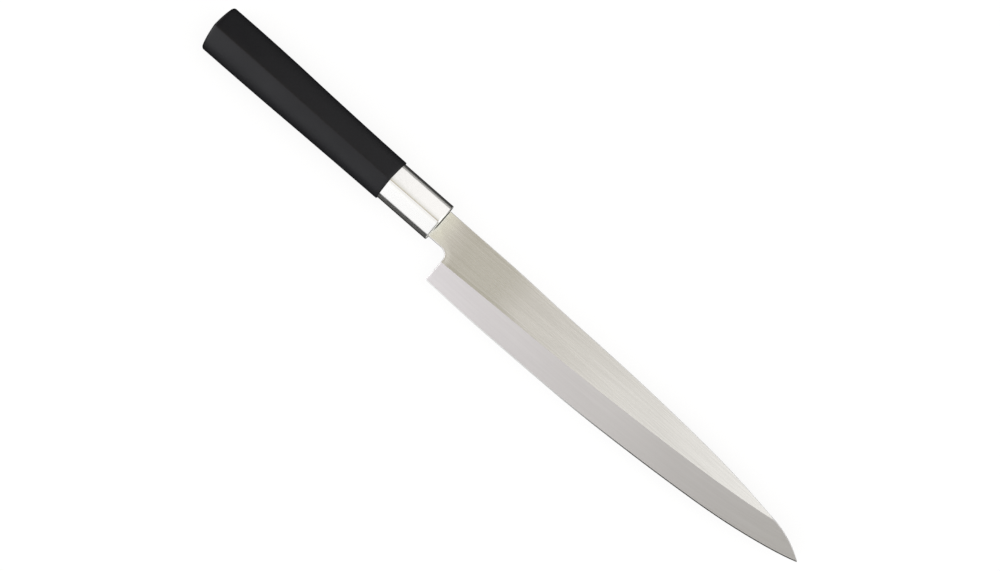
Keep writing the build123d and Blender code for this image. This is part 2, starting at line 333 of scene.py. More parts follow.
def smooth_curve(places, values, start_slope=None, end_slope=None):
    """A cubic spline through the values. An end whose slope isn't given is left straight."""
    x, y = np.array(places, float), np.array(values, float)
    h, n = np.diff(x), len(x)
    rise = np.diff(y) / h
    rows, right = np.zeros((n, n)), np.zeros(n)
    rows[0, 0] = rows[-1, -1] = 1
    for i in range(1, n - 1):
        rows[i, i - 1 : i + 2] = h[i - 1], 2 * (h[i - 1] + h[i]), h[i]
        right[i] = 6 * (rise[i] - rise[i - 1])
    if start_slope is not None:
        rows[0, :2] = 2 * h[0], h[0]
        right[0] = 6 * (rise[0] - start_slope)
    if end_slope is not None:
        rows[-1, -2:] = h[-1], 2 * h[-1]
        right[-1] = 6 * (end_slope - rise[-1])
    bend = np.linalg.solve(rows, right)

    def value(at):
        i = np.clip(np.searchsorted(x, at) - 1, 0, n - 2)
        a, b = x[i + 1] - at, at - x[i]
        cubic = (bend[i] * a**3 + bend[i + 1] * b**3) / (6 * h[i])
        cubic += (y[i] / h[i] - bend[i] * h[i] / 6) * a
        return cubic + (y[i + 1] / h[i] - bend[i + 1] * h[i] / 6) * b

    return value


# %% [markdown]
# ## The outline of the blade
# Seen from above, the blade has a straight neck, a round choil, a square heel, a long belly, a slanting back
# at the point and a spine that falls gently. The stations give the edge and the width of the bevel as
# shares of their greatest sizes, and a spline runs through them.

# %% Set out the blade
stock_thickness = 2.2 * MM
neck_length = 11.9 * MM
neck_spine_step = 2.575 * MM
neck_choil_step = 1.825 * MM
ferrule_width = ferrule_high.y - ferrule_low.y
edge_length = 209.88 * MM
belly_depth = 24.07 * MM
bevel_width = 13.55 * MM
choil_radius = 4.2 * MM
choil_round = 0.45 * MM
spine_round = 0.3 * MM
point_round = 0.35 * MM
tip_back_bulge = 1.15 * MM
# Place along the edge, depth of the edge, width of the bevel
station_shares = (
    (-0.060, 0.966, 0.757), (0.000, 0.978, 0.793), (0.120, 1.000, 0.891),
    (0.250, 0.996, 0.942), (0.400, 0.976, 0.994), (0.550, 0.911, 1.000),
    (0.700, 0.814, 0.983), (0.820, 0.702, 0.961), (0.920, 0.552, 0.917),
    (1.000, 0.3715, 0.890), (1.045, 0.224, 0.870),
)
# Place along the edge, height of the spine as a share of the neck's
spine_shares = (
    (0.110, 1.000), (0.243, 0.906), (0.414, 0.828), (0.587, 0.664),
    (0.673, 0.534), (0.759, 0.345), (0.845, 0.050), (0.907, -0.196),
)

heel_x = neck_length
neck_top_y = ferrule_width / 2 - neck_spine_step
neck_bottom_y = neck_choil_step - ferrule_width / 2
station_x = [heel_x + along * edge_length for along, _, _ in station_shares]
edge_y = smooth_curve(station_x, [-depth * belly_depth for _, depth, _ in station_shares])
bevel_at = smooth_curve(station_x, [width * bevel_width for _, _, width in station_shares])
spine_x = [heel_x + along * edge_length for along, _ in spine_shares]
spine_height = [height * neck_top_y for _, height in spine_shares]
last_slope = (spine_height[-1] - spine_height[-2]) / (spine_x[-1] - spine_x[-2])
spine_y = smooth_curve(spine_x, spine_height, 0, last_slope)
print("heel corner in mm:", in_mm((heel_x, edge_y(heel_x))))

# %% [markdown]
# The back of the point is an arc from the end of the spine to the point. Three things fix it: its two ends
# and how far its middle stands out. The point itself is rounded a little, as on any knife that is used, by a
# small circle that touches the arc and the edge.

# %% Draw the back of the point
tip_corner = Vector((spine_x[-1], spine_height[-1]))
point_x = heel_x + edge_length
point = Vector((point_x, float(edge_y(point_x))))
chord = point - tip_corner
outwards = Vector((-chord.y, chord.x)).normalized()
back_radius = (chord.length**2 / 4 + tip_back_bulge**2) / (2 * tip_back_bulge)
back_centre = (tip_corner + point) / 2 + outwards * (tip_back_bulge - back_radius)

small_step = 0.01 * MM
edge_way = Vector((-small_step, float(edge_y(point_x - small_step)) - point.y)).normalized()
from_centre = (point - back_centre).normalized()
back_way = Vector((-from_centre.y, from_centre.x))
half_angle = back_way.angle(edge_way) / 2
round_centre = point + (back_way + edge_way).normalized() * point_round / sin(half_angle)
round_reach = point_round / tan(half_angle)
round_start_x = max((point + back_way * round_reach).x, (point + edge_way * round_reach).x)
tip_x = round_centre.x + point_round


def top_outline(x):
    """The upper side of the blade's outline: neck, spine and back of the point."""
    if x <= spine_x[0]:
        return neck_top_y
    if x <= tip_corner.x:
        return float(spine_y(x))
    arc = back_centre.y + sqrt(back_radius**2 - (x - back_centre.x) ** 2)
    if x > round_start_x:
        arc = min(arc, round_centre.y + sqrt(max(point_round**2 - (x - round_centre.x) ** 2, 0)))
    return arc


def edge_outline(x):
    """The lower side of the blade's outline, from the heel to the point."""
    edge = float(edge_y(x))
    if x > round_start_x:
        edge = max(edge, round_centre.y - sqrt(max(point_round**2 - (x - round_centre.x) ** 2, 0)))
    return edge


print("the back of the point has a radius of", round(back_radius / MM, 1), "mm")
print("the point lies at", in_mm((tip_x, round_centre.y)))

# %% [markdown]
# ## The thickness of the blade
# One function gives the upper face at any place: the full thickness on the flat, a slope across the bevel,
# and a steeper one across the thin sharpened line. The back is flat with a shallow hollow, ground by a large
# wheel, that leaves a flat rim all round. That is what a single-bevel blade is sharpened on.

# %% Write the blade's heights
edge_land = 0.08 * MM
bevel_land = 0.24 * MM
sharpened_width = 0.5 * MM
back_grind = 0.1 * MM
back_grind_start = 2.0 * MM
hollow_radius = 260 * MM
hollow_rim = 2.0 * MM
most_eased_share = 0.3
hollow_depth_shares = (
    (0.018, -0.150), (0.035, 0.420), (0.075, 0.850), (0.150, 1.000),
    (0.300, 1.000), (0.450, 0.880), (0.600, 0.680), (0.750, 0.430),
    (0.850, 0.220), (0.965, -0.030),
)
steel_top = stock_thickness / 2
steel_bottom = -stock_thickness / 2
back_z = steel_bottom + back_grind
choil_x = heel_x - choil_radius
choil_y = neck_bottom_y - choil_radius
hollow_y = (neck_top_y - belly_depth) / 2
hollow_half = (neck_top_y + belly_depth) / 2 - hollow_rim
hollow_depth = hollow_radius - sqrt(hollow_radius**2 - hollow_half**2)
hollow_x = [heel_x + along * edge_length for along, _ in hollow_depth_shares]
hollow_share = smooth_curve(hollow_x, [share for _, share in hollow_depth_shares])


def upper_face(x, y):
    if x < heel_x:
        return steel_top
    from_edge = y - float(edge_y(x))
    slope = (steel_top - back_z - bevel_land) / float(bevel_at(x))
    steep = (bevel_land - edge_land) / sharpened_width + slope
    return min(steel_top, back_z + bevel_land + from_edge * slope, back_z + edge_land + from_edge * steep)


def wheel_reach(x):
    """The distance from the wheel's axis to the deepest line of the hollow."""
    inside = hollow_x[0] < x < hollow_x[-1]
    return hollow_radius + (float(hollow_share(x)) * hollow_depth if inside else 0)


def hollow_half_width(x):
    return sqrt(max(wheel_reach(x) ** 2 - hollow_radius**2, 0))


def back_face(x, y):
    if x < choil_x:
        ground = min(max((x - choil_x + back_grind_start) / back_grind_start, 0), 1)
        return steel_bottom + back_grind * ground
    across = y - hollow_y
    return max(back_z, back_z - hollow_radius + sqrt(max(wheel_reach(x) ** 2 - across**2, 0)))


def eased(distance, radius, thickness):
    """How far a face falls towards a rounded edge, less where the steel is thin."""
    if distance >= radius:
        return 0
    depth = min(radius, most_eased_share * thickness)
    return depth * (1 - sqrt(1 - (1 - distance / radius) ** 2))


print("hollow in the back: depth", round(hollow_depth / MM, 2), "mm")

# %% [markdown]
# ## The rows of the blade
# The blade's grid has five patches. Two of them make the neck, above and below a middle row. A fan of rows
# spreads from the round choil, because rows that meet a round outline squarely can round its edge too. A
# short strip lies below the fan at the heel. The last patch runs to the point, and its rows follow the
# spine, the ridge between flat and bevel, and the edge.

# %% Choose the rows
ferrule_front_wall = 1.2 * MM
tang_root_half = 5.5 * MM
middle_y = -1.0 * MM
fan_x = heel_x + 4.0 * MM
round_steps = 5
neck_columns = 10
upper_neck_rows, lower_neck_rows = 5, 4
fan_columns = 8
fan_side_rows = 8
bevel_rows = 9
blade_columns = 90
tip_columns = 36
tip_round_columns = 10


def round_distances(radius):
    """Distances from an outline at which rows lie, close together where the edge turns most."""
    return [radius * (1 - cos(radians(90 * step / round_steps))) for step in range(round_steps + 1)]


upper_flat_y = np.linspace(tang_root_half, middle_y, upper_neck_rows)
lower_flat_y = np.linspace(middle_y, -tang_root_half, lower_neck_rows)
spine_rows_y = [neck_top_y - distance for distance in round_distances(spine_round)]
choil_rows_y = [neck_bottom_y + distance for distance in reversed(round_distances(choil_round))]
upper_neck_y = [*spine_rows_y, *upper_flat_y]
lower_neck_y = [*lower_flat_y, *choil_rows_y]
neck_x = np.linspace(-ferrule_front_wall, choil_x, neck_columns)
fan_top_x = np.linspace(choil_x, fan_x, fan_columns)
fan_side_y = np.linspace(middle_y, choil_y, fan_side_rows)
flat_span = spine_rows_y[-1] - choil_y
flat_shares = [(spine_rows_y[-1] - y) / flat_span for y in [*upper_flat_y, *fan_side_y[1:]]]
under_fan_gap = choil_y - float(edge_y(fan_x)) - float(bevel_at(fan_x))
print("rows across the flat:", len(spine_rows_y) + len(flat_shares))
print("gap under the fan in mm:", in_mm([under_fan_gap]))

# %% [markdown]
# A rib is one line of points across the blade. On the upper face a rib has close rows at the spine, rows
# across the flat, the ridge, rows across the bevel, the start of the sharpened line and the edge. Near the
# point the ridge runs out into the back of the point, and there the rows of the flat lie on each other until
# sewing merges them. On the back a rib follows the rim of the hollow instead.


# %% Write the ribs
def spine_zone(x):
    """Where the rows at the rounded spine end, and the distances of those rows."""
    top, bottom = top_outline(x), edge_outline(x)
    distances = round_distances(min(spine_round, (top - bottom) / 3))
    return top, distances


def lower_rib(x, start_y):
    """The ridge, the rows of the bevel, the sharpened line and the edge, none above start_y."""
    bottom = edge_outline(x)
    ridge = min(float(edge_y(x) + bevel_at(x)), start_y)
    sharp = max(min(float(edge_y(x)) + sharpened_width, start_y), bottom)
    across = np.linspace(ridge, sharp, bevel_rows)
    return [*across, bottom]


def upper_rib(x):
    top, distances = spine_zone(x)
    start = top - distances[-1]
    ridge = float(edge_y(x) + bevel_at(x))
    low = min(ridge + under_fan_gap, start)
    flat = [start + (low - start) * share for share in flat_shares]
    return [top - distance for distance in distances] + flat + lower_rib(x, start)


def back_rib(x):
    top, distances = spine_zone(x)
    bottom = edge_outline(x)
    count = len(flat_shares) + bevel_rows
    half = hollow_half_width(x)
    across = np.clip(np.linspace(hollow_y + half, hollow_y - half, count), bottom, top - distances[-1])
    return [top - distance for distance in distances] + [*across, bottom]


assert len(upper_rib(fan_x)) == len(back_rib(fan_x))
print("points in a rib:", len(upper_rib(fan_x)))

# %% [markdown]
# A patch is a table of places in plan. The neck's two patches and the strip at the heel are plain tables.
# Each rib of the fan runs from the patch above or beside it to the choil, and keeps close rows there.

# %% Lay out the patches
round_turns = np.radians(np.linspace(0, 90, tip_round_columns))
blade_x = np.concatenate([
    np.linspace(fan_x, tip_corner.x, blade_columns)[:-1],
    np.linspace(tip_corner.x, round_start_x, tip_columns)[:-1],
    tip_x - (tip_x - round_start_x) * (1 - np.sin(round_turns)),
])

upper_neck = [[(x, y) for y in upper_neck_y] for x in [*neck_x, *fan_top_x[1:]]]
lower_neck = [[(x, y) for y in lower_neck_y] for x in neck_x]

neck_span = middle_y - choil_rows_y[0]
lower_shares = [(y - choil_rows_y[0]) / neck_span for y in lower_flat_y]
fan_outer = [(x, middle_y) for x in fan_top_x] + [(fan_x, y) for y in fan_side_y[1:]]
fan = []
for step, outer in enumerate(fan_outer):
    turn = radians(90 - 90 * step / (len(fan_outer) - 1))
    inner = Vector((choil_x + choil_radius * cos(turn), choil_y + choil_radius * sin(turn)))
    way = (Vector(outer) - inner).normalized()
    span = (Vector(outer) - inner).length - choil_round
    reaches = [choil_round + share * span for share in lower_shares]
    reaches += list(reversed(round_distances(choil_round)))
    fan.append([tuple(inner + way * reach) for reach in reaches])
heel_x_columns = [x for x, _ in reversed(fan[-1])]
heel_strip = [[(x, choil_y), *((x, y) for y in lower_rib(x, choil_y))] for x in heel_x_columns]
blade_upper = [[(x, y) for y in upper_rib(x)] for x in blade_x]
blade_back = [[(x, y) for y in back_rib(x)] for x in blade_x]
blade_back[0] = blade_upper[0]
print("ribs in the blade:", len(blade_x), " in the fan:", len(fan))


# %% [markdown]
# Heights are worked out from a place alone, whichever patch it belongs to. So patches agree on their borders
# and every edge that a grinder eases by hand, the spine, the neck, the choil and the heel, is rounded alike.


# %% Work out the heights
def choil_distance(x, y):
    """Distance from the lower side of the neck, from the choil or from the heel."""
    if x < choil_x:
        return y - neck_bottom_y
    if y > choil_y:
        return sqrt((x - choil_x) ** 2 + (y - choil_y) ** 2) - choil_radius
    return x - heel_x


def face_heights(x, y):
    """Heights of the upper face and of the back at one place, with their eased edges."""
    upper, back = upper_face(x, y), back_face(x, y)
    top = top_outline(x)
    spine_radius = spine_round
    if x > heel_x:
        spine_radius = max(min(spine_round, (top - edge_outline(x)) / 3), small_step)
    ease = eased(max(top - y, 0), spine_radius, upper - back)
    ease += eased(max(choil_distance(x, y), 0), choil_round, upper - back)
    return upper - ease, back + ease


def add_patch(bm, plan, side):
    """Adds one face of a patch: side 0 is the upper face and side 1 the back."""
    rows = [[bm.verts.new((x, y, face_heights(x, y)[side])) for x, y in rib] for rib in plan]
    for rib, next_rib in zip(rows, rows[1:]):
        join_lines(bm, rib, next_rib)


def add_wall(bm, upper_line, back_line):
    """Joins a line of places on the upper face to one on the back."""
    above = [bm.verts.new((x, y, face_heights(x, y)[0])) for x, y in upper_line]
    below = [bm.verts.new((x, y, face_heights(x, y)[1])) for x, y in back_line]
    join_lines(bm, above, below)


heel_faces = [face_heights(heel_x + MM, y * MM) for y in (0, -15, -20)]
print("thickness at the heel, mm:", in_mm(upper - back for upper, back in heel_faces))

# %% [markdown]
# ## The tang
# Behind the neck the blade goes on as a tapered tang with two holes, which the resin grips. It is hidden in
# the handle, but it is the same piece of steel, so it is part of the same mesh. Its flat faces have holes in
# them, and Blender's triangle fill deals with that: given the edges of an outline and of the holes, it fills
# what lies between.

# %% Measure the tang
tang_length = 86 * MM
tang_end_half = 3.5 * MM
tang_end_round = 2.0 * MM
tang_hole_radius = 1.8 * MM
tang_hole_shares = (0.42, 0.76)
hole_sides = 32
corner_steps = 6


def tang_outline(margin=0.0, extra_length=0.0):
    """The tang in plan from its upper root corner round its end to the lower one."""
    end_half, end_x = tang_end_half + margin, -tang_length - extra_length
    upper = []
    for step in range(corner_steps + 1):
        turn = radians(90 + 90 * step / corner_steps)
        middle = (end_x + tang_end_round, end_half - tang_end_round)
        upper.append((middle[0] + tang_end_round * cos(turn), middle[1] + tang_end_round * sin(turn)))
    lower = [(x, -y) for x, y in reversed(upper)]
    root = (-ferrule_front_wall, tang_root_half + margin)
    return [root, *upper, *lower, (root[0], -root[1])]


def add_loop(bm, points):
    """A closed loop of edges through the points."""
    verts = [bm.verts.new(p) for p in points]
    edges = [bm.edges.new((verts[i - 1], verts[i])) for i in range(len(verts))]
    return verts, edges


def add_ring_wall(bm, first, second):
    """A band of faces between two closed loops with as many points."""
    for i in range(len(first)):
        bm.faces.new((first[i - 1], first[i], second[i], second[i - 1]))


def add_tang(bm):
    root_y = [y for y in [*upper_neck_y, *lower_neck_y[1:]] if abs(y) < tang_root_half - small_step]
    outline = tang_outline() + [(-ferrule_front_wall, y) for y in reversed(root_y)]
    walls = len(tang_outline())
    levels = []
    for z in (steel_top, steel_bottom):
        verts, edges = add_loop(bm, [(x, y, z) for x, y in outline])
        loops = [verts]
        for share in tang_hole_shares:
            turns = [2 * pi * side / hole_sides for side in range(hole_sides)]
            places = [(tang_hole_radius * cos(t), tang_hole_radius * sin(t)) for t in turns]
            ring = [(x - share * tang_length, y, z) for x, y in places]
            hole, hole_edges = add_loop(bm, ring)
            loops.append(hole)
            edges += hole_edges
        bmesh.ops.triangle_fill(bm, use_beauty=True, edges=edges, normal=(0, 0, 1))
        levels.append(loops)
    (upper, *upper_holes), (back, *back_holes) = levels
    join_lines(bm, upper[:walls], back[:walls])
    for above, below in zip(upper_holes, back_holes):
        add_ring_wall(bm, above, below)


print("tang outline has", len(tang_outline()), "points")

# %% [markdown]
# ## Sewing the blade
# All patches, walls and the tang go into one mesh and are sewn. Each face then gets the finish that it has
# on the real blade: the brushed flat, the bevel, the sharpened line, the eased rims and the hollow back. A
# UV map tells the materials which way the steel was ground: along the blade on the flat, and along the edge
# on the bevel, so its second coordinate is the distance from the edge there.

# %% Sew the blade
FLAT, BEVEL, SHARP, RIM, BACK = range(5)


def blade_finish(face):
    x, y, z = face.calc_center_median()
    if x < -ferrule_front_wall:
        return BACK
    if abs(face.normal.z) < 0.5:
        return RIM
    if face.normal.z < 0:
        return BACK
    if x > heel_x:
        from_edge = y - float(edge_y(x))
        if from_edge < sharpened_width:
            return SHARP
        if from_edge < float(bevel_at(x)) and top_outline(x) - y > spine_round * 0.5:
            return BEVEL
    if top_outline(x) - y < spine_round or choil_distance(x, y) < choil_round:
        return RIM
    return FLAT


bm = bmesh.new()
for plan in (upper_neck, lower_neck, fan, heel_strip):
    add_patch(bm, plan, 0)
    add_patch(bm, plan, 1)
add_patch(bm, blade_upper, 0)
add_patch(bm, blade_back, 1)
for line in (
    [rib[0] for rib in upper_neck],
    [rib[-1] for rib in lower_neck],
    [rib[-1] for rib in fan],
    heel_strip[0],
    [rib[-1] for rib in heel_strip],
):
    add_wall(bm, line, line)
root_rows = upper_neck[0] + lower_neck[0][1:]
for low in range(len(root_rows) - 1):
    pair = root_rows[low : low + 2]
    if max(abs(y) for _, y in pair) > tang_root_half + small_step:
        add_wall(bm, pair, pair)
for row in (0, -1):
    line = [rib[row] for rib in blade_upper]
    add_wall(bm, line, line)
add_tang(bm)
sew(bm)
grain = bm.loops.layers.uv.new("grain")
from_ridge = bm.loops.layers.uv.new("from the ridge")
for face in bm.faces:
    face.material_index = blade_finish(face)
    for corner in face.loops:
        x, y, _ = corner.vert.co
        on_bevel = face.material_index in (BEVEL, SHARP)
        from_edge = y - float(edge_y(x))
        corner[grain].uv = (x, from_edge if on_bevel else y)
        corner[from_ridge].uv = (x, from_edge - float(bevel_at(x)))
print("blade faces by finish:", [sum(f.material_index == k for f in bm.faces) for k in range(5)])
blade = finish_piece(bm, "blade_steel", [], sharp_angle=5)
print("blade box in mm:", in_mm(blade.bound_box[0], 3), in_mm(blade.bound_box[6], 3))
print("CAD blade in mm:", in_mm(blade_low, 3), in_mm(blade_high, 3))

# %% [markdown]
# ## The section of collar and grip
# Both have the same D-shaped section: a ridge on the right side, two slightly crowned facets, round flanks
# and a gently rounded left side for the fingers. It is drawn in arcs that touch one another. The number of
# points on each arc never changes, so point 12 of a small section and point 12 of a large one lie at the same
# spot of the shape, and sections can be joined or blended point by point.

# %% Draw the section
ridge_round_share = 0.14
facet_round_share = 2.0
flank_round_share = 0.34
belly_round_share = 0.52
ridge_steps, facet_steps, flank_steps, belly_steps = 5, 14, 12, 14


def arc_points(centre, radius, start, end, steps):
    """Points of an arc between two directions given in radians, without its last one."""
    turns = [start + (end - start) * step / steps for step in range(steps)]
    return [(centre[0] + radius * cos(turn), centre[1] + radius * sin(turn)) for turn in turns]


def section(half_width, ridge, belly):
    """Places (y, z) round the section, from the ridge over the spine side, the belly and back."""
    ridge_r = ridge_round_share * half_width
    facet_r = facet_round_share * half_width
    flank_r = flank_round_share * half_width
    belly_r = belly_round_share * half_width
    ridge_centre = Vector((0, ridge - ridge_r))
    flank_centre = Vector((half_width - flank_r, 0))
    run = flank_centre - ridge_centre
    reach = (run.length + ((facet_r - ridge_r) ** 2 - (facet_r - flank_r) ** 2) / run.length) / 2
    inwards = Vector((run.y, -run.x)).normalized()
    drop = sqrt((facet_r - ridge_r) ** 2 - reach**2)
    facet_centre = ridge_centre + run.normalized() * reach + inwards * drop
    ridge_turn = atan2(*reversed(ridge_centre - facet_centre))
    flank_turn = atan2(*reversed(flank_centre - facet_centre))
    belly_x = half_width - belly_r
    big_r = (belly_x**2 + belly**2 - belly_r**2) / (2 * (belly - belly_r))
    belly_turn = atan2(-(big_r - belly), belly_x)
    half = arc_points(ridge_centre, ridge_r, pi / 2, ridge_turn, ridge_steps)
    half += arc_points(facet_centre, facet_r, ridge_turn, flank_turn, facet_steps)
    half += arc_points(flank_centre, flank_r, flank_turn, 0, flank_steps)
    half += arc_points((belly_x, 0), belly_r, 0, belly_turn, flank_steps)
    half += arc_points((0, big_r - belly), big_r, belly_turn, -pi / 2, belly_steps)
    other_half = [(-y, z) for y, z in reversed(half[1:])]
    return half + [(0, -belly)] + other_half


ferrule_half = ferrule_width / 2
ferrule_length = 28.9 * MM
ferrule_ridge = ferrule_high.z - axes.z
ferrule_belly = axes.z - ferrule_low.z
around = len(section(ferrule_half, ferrule_ridge, ferrule_belly))
print("the collar in mm:", in_mm((ferrule_half, ferrule_ridge, ferrule_belly)), around, "points")

# %% [markdown]
# ## The collar
# The collar is a thin cup drawn from stainless sheet, with a flat front, a small round where the front turns
# into the sides, and a slot for the neck. It could be an outer skin alone, but then its wall would have no
# thickness. So rings of points run up the outside, over the front to the slot, through it and back down the
# inside, and the flat ends are filled between two outlines.

# %% Make the collar
ferrule_wall = 0.6 * MM
ferrule_front_round = 0.45 * MM
slot_clearance = 0.15 * MM
round_rings = 6


def ferrule_ring(x, inset=0.0):
    sizes = (ferrule_half - inset, ferrule_ridge - inset, ferrule_belly - inset)
    return [(x, y, z) for y, z in section(*sizes)]


def slot_ring(x):
    top, bottom = neck_top_y + slot_clearance, neck_bottom_y - slot_clearance
    reach = steel_top + slot_clearance
    return [(x, y, z) for y, z in ((top, reach), (bottom, reach), (bottom, -reach), (top, -reach))]


def fill_between(bm, outer, inner):
    """Fills a flat end between two outlines. The sewing merges them with the walls they end."""
    edges = add_loop(bm, outer)[1] + add_loop(bm, inner)[1]
    bmesh.ops.triangle_fill(bm, use_beauty=True, edges=edges, normal=(1, 0, 0))


def add_tube(bm, rings):
    """Joins rings with as many points into one wall."""
    loops = [[bm.verts.new(p) for p in ring] for ring in rings]
    for first, second in zip(loops, loops[1:]):
        add_ring_wall(bm, first, second)


bm = bmesh.new()
outside = [ferrule_ring(-ferrule_length), ferrule_ring(-2 * ferrule_front_round)]
for ring in range(round_rings + 1):
    turn = radians(90 * ring / round_rings)
    back, inset = ferrule_front_round * (1 - sin(turn)), ferrule_front_round * (1 - cos(turn))
    outside.append(ferrule_ring(-back, inset))
inside = [ferrule_ring(-ferrule_length, ferrule_wall), ferrule_ring(-ferrule_front_wall, ferrule_wall)]
add_tube(bm, outside)
add_tube(bm, inside)
add_tube(bm, [outside[0], inside[0]])
add_tube(bm, [slot_ring(0), slot_ring(-ferrule_front_wall)])
fill_between(bm, outside[-1], slot_ring(0))
fill_between(bm, inside[-1], slot_ring(-ferrule_front_wall))
ferrule = finish_piece(bm, "polished_collar", [])

# %% [markdown]
# ## The grip, ring by ring
# The grip follows one rule all the way: its section grows from the collar to the butt along a swell curve. A
# main form that follows a rule is work for Geometry Nodes. The tree gets five sections, as small meshes of
# points with one number each, and a grid of points. Row by row the grid becomes the stem inside the collar,
# the shoulder, the shoulder's small round, the swelling grip, the round of the butt, and the flat butt that
# closes in a point.

# %% Measure the grip
shoulder_step = 0.73 * MM
shoulder_round = 0.3 * MM
grip_length = 104.1 * MM
butt_half = 11.71 * MM
butt_ridge = handle_high.z - axes.z
butt_belly = axes.z - handle_low.z - small_step
butt_rise = 0.45 * MM
butt_round = 1.4 * MM
butt_slant = radians(1.9)
tenon_inset = ferrule_wall + 0.05 * MM
swell_shares = ((0.0, 0.0), (0.15, 0.11), (0.42, 0.44), (0.72, 0.90), (0.85, 0.985), (1.0, 1.0))


def section_object(name, half_width, ridge, belly, inset):
    """A section as loose points of a mesh, which the tree reads one by one."""
    mesh = bpy.data.meshes.new(name)
    places = section(half_width - inset, ridge - inset, belly - inset)
    mesh.from_pydata([(0, y, z) for y, z in places], [], [])
    return bpy.data.objects.new(name, mesh)


shoulder = [size + shoulder_step for size in (ferrule_half, ferrule_ridge, ferrule_belly)]
butt = (butt_half, butt_ridge, butt_belly)
sections = {
    "Stem Section": section_object("stem", ferrule_half, ferrule_ridge, ferrule_belly, tenon_inset),
    "Shoulder Face Section": section_object("shoulder face", *shoulder, shoulder_round),
    "Shoulder Section": section_object("shoulder", *shoulder, 0),
    "Butt Section": section_object("butt", *butt, 0),
    "Butt Face Section": section_object("butt face", *butt, butt_round),
}
print("the butt in mm:", in_mm(butt))

# %% [markdown]
# The tree works on whole fields, so there is no loop: each point knows its number, and from that its ring and
# its place round the section. A Map Range that is clamped at both ends gives one stretch of rings a factor
# that runs from 0 to 1, and stays at 0 before and at 1 after. Six such factors, one after another, are the
# whole plan of the grip.

# %% Build the tree of the grip
swell_rings = 60
butt_rings = 8
cap_rings = 4
stretch_rings = {"stem": 1, "face": 1, "shoulder": 5}
stretch_rings.update(swell=swell_rings, butt=butt_rings, cap=cap_rings)

grip_tree = bpy.data.node_groups.new("grip rings", "GeometryNodeTree")


def add_socket(name, kind, in_out="INPUT"):
    grip_tree.interface.new_socket(name, in_out=in_out, socket_type="NodeSocket" + kind)


add_socket("Socket Walls", "Geometry")
add_socket("Grip", "Geometry", "OUTPUT")
for name in sections:
    add_socket(name, "Object")
grip_sizes = {
    "Collar Length": ferrule_length,
    "Collar Front Wall": ferrule_front_wall,
    "Grip Length": grip_length,
    "Shoulder Round": shoulder_round,
    "Butt Round": butt_round,
    "Butt Rise": butt_rise,
    "Butt Slant": butt_slant,
    "Merge Distance": 0.001 * MM,
}
for name in grip_sizes:
    add_socket(name, "Float")
add_socket("Finish", "Material")
given = node(grip_tree, "NodeGroupInput").outputs


def calc(operation, *values):
    return math(grip_tree, operation, *values)


def vector_calc(operation, first, second):
    inputs = {0: first, "Scale" if operation == "SCALE" else 1: second}
    return node(grip_tree, "ShaderNodeVectorMath", inputs, operation=operation).outputs[0]


def mix(factor, first, second):
    """A point on the way between two places."""
    inputs = {"Factor": factor, 4: first, 5: second}
    return node(grip_tree, "ShaderNodeMix", inputs, data_type="VECTOR").outputs[1]


ring_count = sum(stretch_rings.values()) + 1
grid_inputs = {"Vertices X": ring_count, "Vertices Y": around + 1}
grid = node(grip_tree, "GeometryNodeMeshGrid", grid_inputs).outputs["Mesh"]
index = node(grip_tree, "GeometryNodeInputIndex").outputs[0]
ring = calc("FLOOR", calc("DIVIDE", calc("ADD", index, 0.5), around + 1))
place_round = calc("SUBTRACT", index, calc("MULTIPLY", ring, around + 1))
place_round = calc("MODULO", place_round, around)

factor, first_ring = {}, 0
for name, count in stretch_rings.items():
    factor[name] = map_range(grip_tree, ring, first_ring, first_ring + count)
    first_ring += count


def section_place(name):
    """The place of this point's number on one of the sections."""
    info = node(grip_tree, "GeometryNodeObjectInfo", {"Object": given[name]}).outputs["Geometry"]
    position = node(grip_tree, "GeometryNodeInputPosition").outputs[0]
    inputs = {"Geometry": info, "Value": position, "Index": place_round}
    return node(grip_tree, "GeometryNodeSampleIndex", inputs, data_type="FLOAT_VECTOR").outputs[0]


shoulder_turn = calc("MULTIPLY", factor["shoulder"], pi / 2)
butt_turn = calc("MULTIPLY", factor["butt"], pi / 2)
shoulder_back = calc("SUBTRACT", 1.0, calc("COSINE", shoulder_turn))
shoulder_back = calc("MULTIPLY", shoulder_back, given["Shoulder Round"])
swell_length = calc("SUBTRACT", given["Grip Length"], given["Butt Round"])
swell_run = calc("SUBTRACT", swell_length, given["Shoulder Round"])
along_grip = calc("MULTIPLY_ADD", factor["swell"], swell_run, shoulder_back)
swell = node(grip_tree, "ShaderNodeFloatCurve", {"Value": calc("DIVIDE", along_grip, swell_length)})
for place, grown in swell_shares[1:-1]:
    swell.mapping.curves[0].points.new(place, grown)
swell.mapping.update()
growth = swell.outputs[0]

shoulder_sections = section_place("Shoulder Face Section"), section_place("Shoulder Section")
front = mix(calc("SINE", shoulder_turn), *shoulder_sections)
front = mix(factor["face"], section_place("Stem Section"), front)
butt_fall = calc("SUBTRACT", 1.0, calc("COSINE", butt_turn))
back = mix(butt_fall, section_place("Butt Section"), section_place("Butt Face Section"))
shape = mix(growth, front, back)
shape = vector_calc("SCALE", shape, calc("SUBTRACT", 1.0, factor["cap"]))

